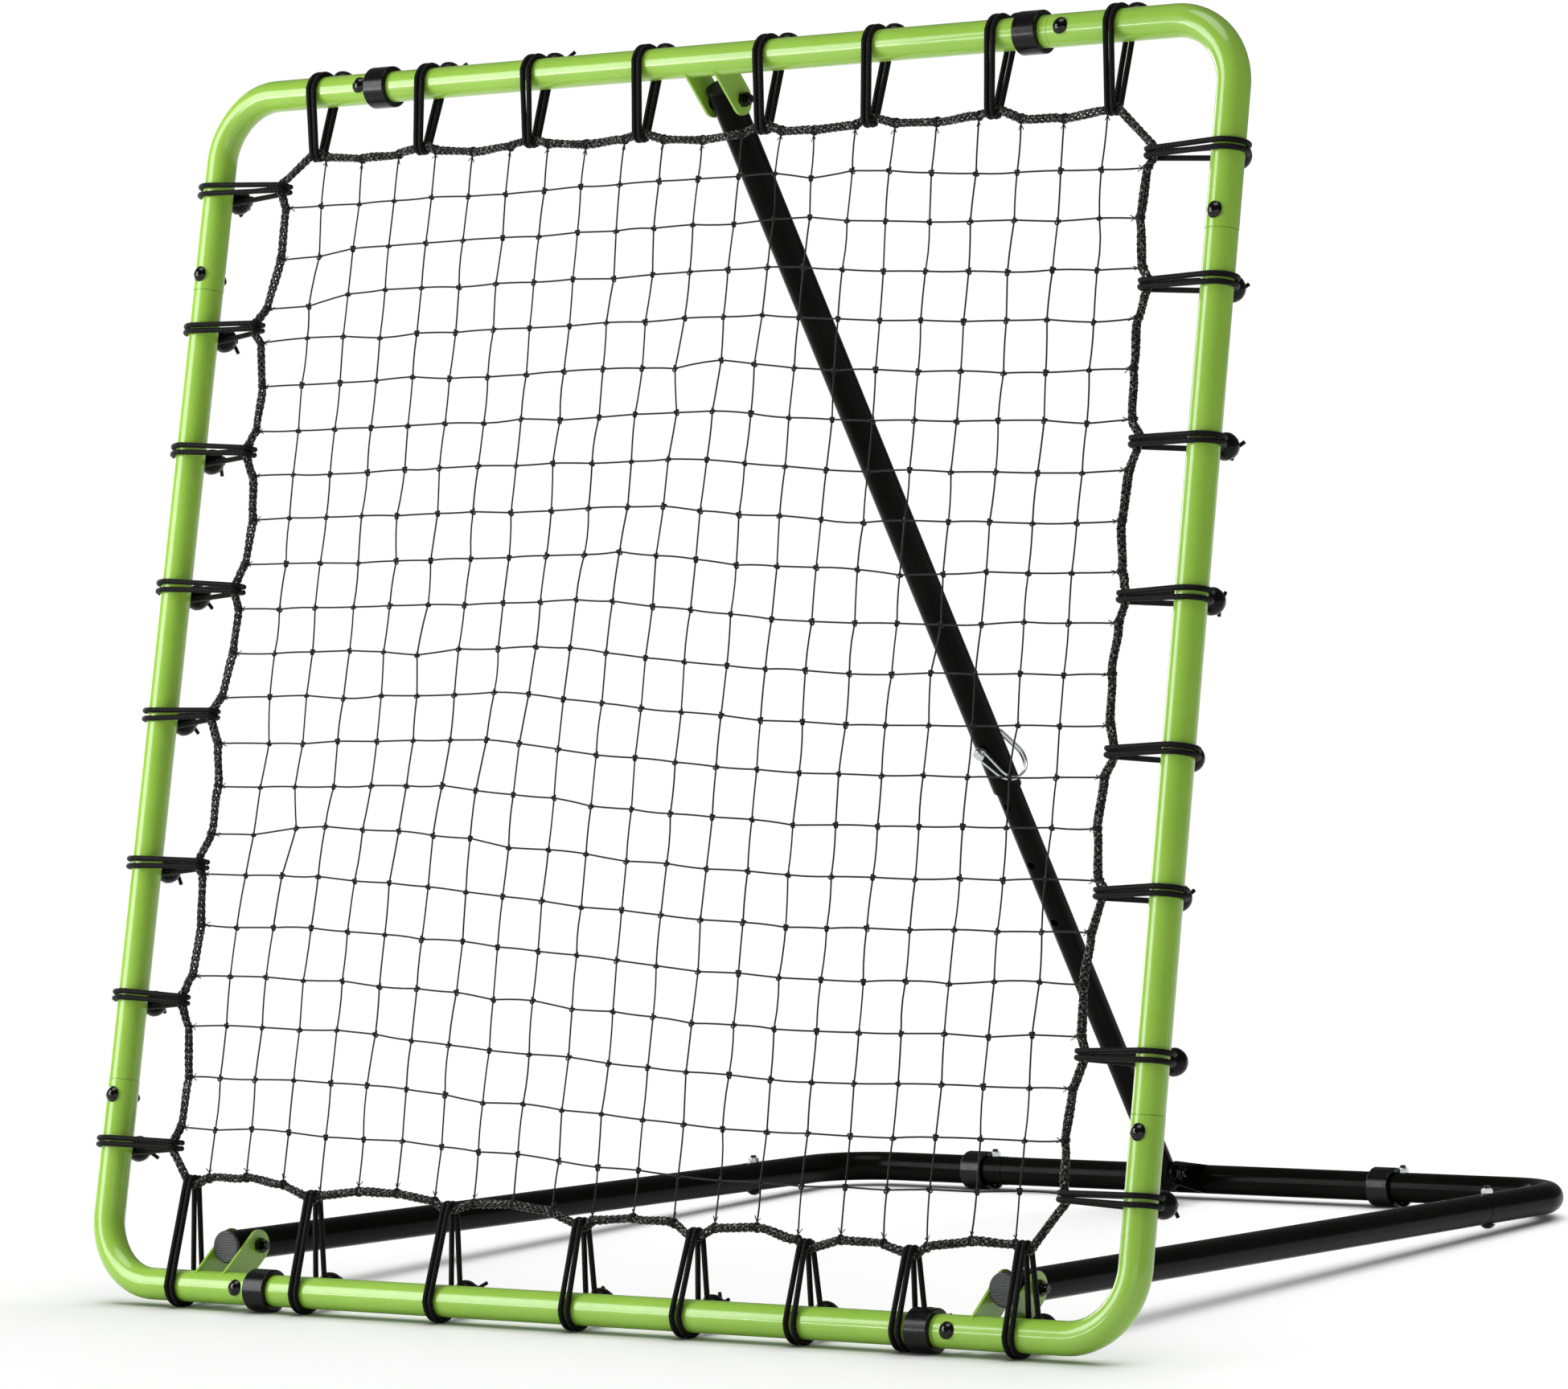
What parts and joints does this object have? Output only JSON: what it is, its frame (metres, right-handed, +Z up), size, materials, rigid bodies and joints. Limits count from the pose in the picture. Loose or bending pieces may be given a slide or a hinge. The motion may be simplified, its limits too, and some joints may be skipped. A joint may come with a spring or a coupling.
{
  "type": "pitch back rebounder",
  "caption": "Ball rebounder: a square tube frame with an elastic-hung net leans on a flat U-shaped base and is propped by a pinned telescopic strut.",
  "frame": {"origin": "on the floor, in the middle of the footprint", "axes": "+X to the right along the hinge line, +Y from the net to the rear tube, +Z up; the net faces -Y"},
  "size_m": [1.2106, 1.0919, 1.1839],
  "materials": {
    "green_powder_coat": "gloss lime green powder coat",
    "black_powder_coat": "gloss black powder coat",
    "black_plastic": "smooth black moulded plastic",
    "grey_plastic": "fine matt dark grey moulded plastic",
    "black_fasteners": "black plated steel, semi-gloss",
    "zinc_plated_steel": "bright zinc plate",
    "border_rope": "braided black rope with light flecks",
    "net_string": "thin black knotted twine",
    "elastic_cord": "woven cover over rubber, black",
    "ball_plastic": "smooth black moulded ball"
  },
  "bodies": {
    "base_frame": {"base_corner_tube_left": "black_powder_coat", "base_corner_tube_right": "black_powder_coat", "base_side_tube_left": "black_powder_coat", "base_side_tube_right": "black_powder_coat", "base_rear_tube": "black_powder_coat", "base_end_cap_left": "grey_plastic", "base_end_cap_right": "grey_plastic", "base_joint_bolts": "black_fasteners", "base_joint_nuts": "zinc_plated_steel", "base_collar_left": "black_plastic", "base_collar_right": "black_plastic", "hinge_bolts": "black_fasteners", "hinge_nuts": "black_fasteners", "strut_foot_bracket": "black_powder_coat", "strut_foot_bolt": "black_fasteners", "strut_foot_nut": "black_fasteners"},
    "net_frame": {"frame_corner_tube_bottom_left": "green_powder_coat", "frame_corner_tube_bottom_right": "green_powder_coat", "frame_corner_tube_top_left": "green_powder_coat", "frame_corner_tube_top_right": "green_powder_coat", "frame_top_tube": "green_powder_coat", "frame_bottom_tube": "green_powder_coat", "frame_left_tube": "green_powder_coat", "frame_right_tube": "green_powder_coat", "frame_collar_top_left": "black_plastic", "frame_collar_top_right": "black_plastic", "frame_collar_bottom_left": "black_plastic", "frame_collar_bottom_right": "black_plastic", "frame_joint_bolts": "black_fasteners", "frame_joint_nuts": "black_fasteners", "hinge_bracket_left": "green_powder_coat", "hinge_bracket_right": "green_powder_coat", "strut_top_bracket": "green_powder_coat", "strut_top_bolt": "black_fasteners", "strut_top_nut": "black_fasteners", "net_border_rope": "border_rope", "net": "net_string", "bungee_cords_top": "elastic_cord", "bungee_cords_bottom": "elastic_cord", "bungee_cords_left": "elastic_cord", "bungee_cords_right": "elastic_cord", "bungee_balls_top": "ball_plastic", "bungee_balls_bottom": "ball_plastic", "bungee_balls_left": "ball_plastic", "bungee_balls_right": "ball_plastic", "bungee_knots_top": "elastic_cord", "bungee_knots_bottom": "elastic_cord", "bungee_knots_left": "elastic_cord", "bungee_knots_right": "elastic_cord"},
    "strut_upper": {"strut_upper_tube": "black_powder_coat", "strut_top_plug": "black_plastic", "strut_top_washers": "black_plastic"},
    "strut_lower": {"strut_lower_tube": "black_powder_coat", "strut_foot_plug": "black_plastic", "strut_foot_washers": "black_plastic"},
    "snap_pin": {"snap_pin": "zinc_plated_steel"},
    "snap_pin_bail": {"snap_pin_bail": "zinc_plated_steel"}
  },
  "joints": [
    {"name": "frame_tilt", "type": "hinge", "parent": "base_frame", "child": "net_frame", "pos_m": [0, -0.4787, 0.055], "axis": [1, 0, 0], "range_deg": [-15.17, 0], "deforming": ["snap_pin"]},
    {"name": "strut_top_swing", "type": "hinge", "parent": "net_frame", "child": "strut_upper", "pos_m": [0, -0.23708, 1.12473], "axis": [1, 0, 0], "range_deg": [0, 6.5]},
    {"name": "strut_foot_swing", "type": "hinge", "parent": "base_frame", "child": "strut_lower", "pos_m": [0, 0.4663, 0.0337], "axis": [1, 0, 0], "range_deg": [-9.6, 0]},
    {"name": "snap_pin_pull", "type": "slide", "parent": "strut_upper", "child": "snap_pin", "axis": [0, -0.8405, -0.5418], "range_m": [0, 0.06], "deforming": ["snap_pin_bail"]},
    {"name": "snap_pin_bail_swing", "type": "hinge", "parent": "snap_pin", "child": "snap_pin_bail", "pos_m": [0, 0.14991, 0.48663], "axis": [-0.8417, 0.2926, -0.4539], "range_deg": [0, 100]}
  ],
  "couplings": [
    {"joint": "strut_top_swing", "follows": "frame_tilt", "ratio": -0.3934},
    {"joint": "strut_foot_swing", "follows": "frame_tilt", "ratio": 0.6066}
  ]
}
